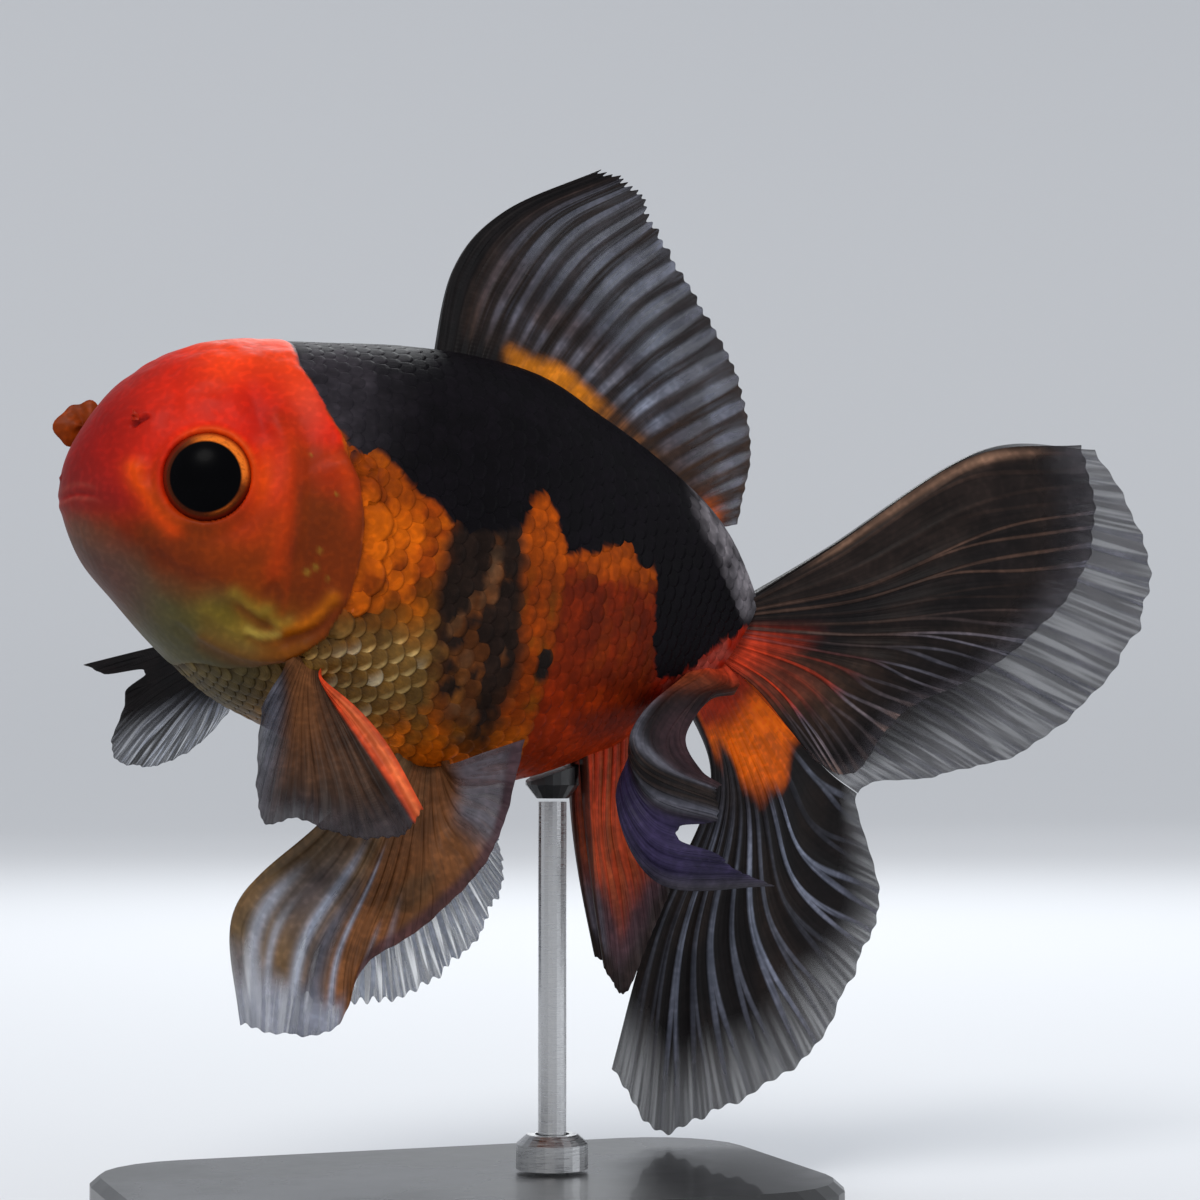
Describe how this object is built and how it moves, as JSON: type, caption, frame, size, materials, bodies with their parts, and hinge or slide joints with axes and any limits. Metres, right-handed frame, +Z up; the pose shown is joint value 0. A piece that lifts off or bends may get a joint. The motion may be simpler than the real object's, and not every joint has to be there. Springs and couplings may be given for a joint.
{
  "type": "fancy goldfish",
  "caption": "Life-size still model of a fancy goldfish with a domed head, full fins and a double tail, held over a small flat stand by a short rod.",
  "frame": {"origin": "centre of the underside of the stand's base", "axes": "+Z up, +X from the fish's head towards its tail, +Y towards the fish's right side; the fish is tipped 8 degrees nose up"},
  "size_m": [0.1107, 0.0459, 0.0951],
  "materials": {
    "skin_red": "wet skin, orange red",
    "skin_orange": "wet scales, orange and gold",
    "skin_black": "wet scales, black",
    "fin_black": "black rays in smoky membrane",
    "fin_smoke": "smoky membrane",
    "fin_brown": "orange brown to clear membrane",
    "fin_orange": "orange red membrane",
    "eye": "clear over black",
    "base": "black acrylic",
    "steel": "brushed"
  },
  "bodies": {
    "root": {"head": "skin_red", "lower_jaw": "skin_red", "gill_cover_left": "skin_orange", "gill_cover_right": "skin_orange", "nostril_flap_left": "skin_red", "nostril_flap_right": "skin_orange", "trunk": "skin_orange", "tail_stalk": "skin_black", "eye_left": "eye", "eye_right": "eye", "dorsal_fin": "fin_black", "pectoral_fin_left": "fin_smoke", "pectoral_fin_right": "fin_smoke", "pelvic_fin_left": "fin_brown", "pelvic_fin_right": "fin_brown", "anal_fin_left": "fin_orange", "anal_fin_right": "fin_orange", "tail_fin_left_upper": "fin_black", "tail_fin_left_lower": "fin_black", "tail_fin_right_upper": "fin_black", "tail_fin_right_lower": "fin_black", "stand_base": "base", "stand_rest": "base", "stand_collar": "steel", "stand_rod": "steel"}
  },
  "joints": []
}
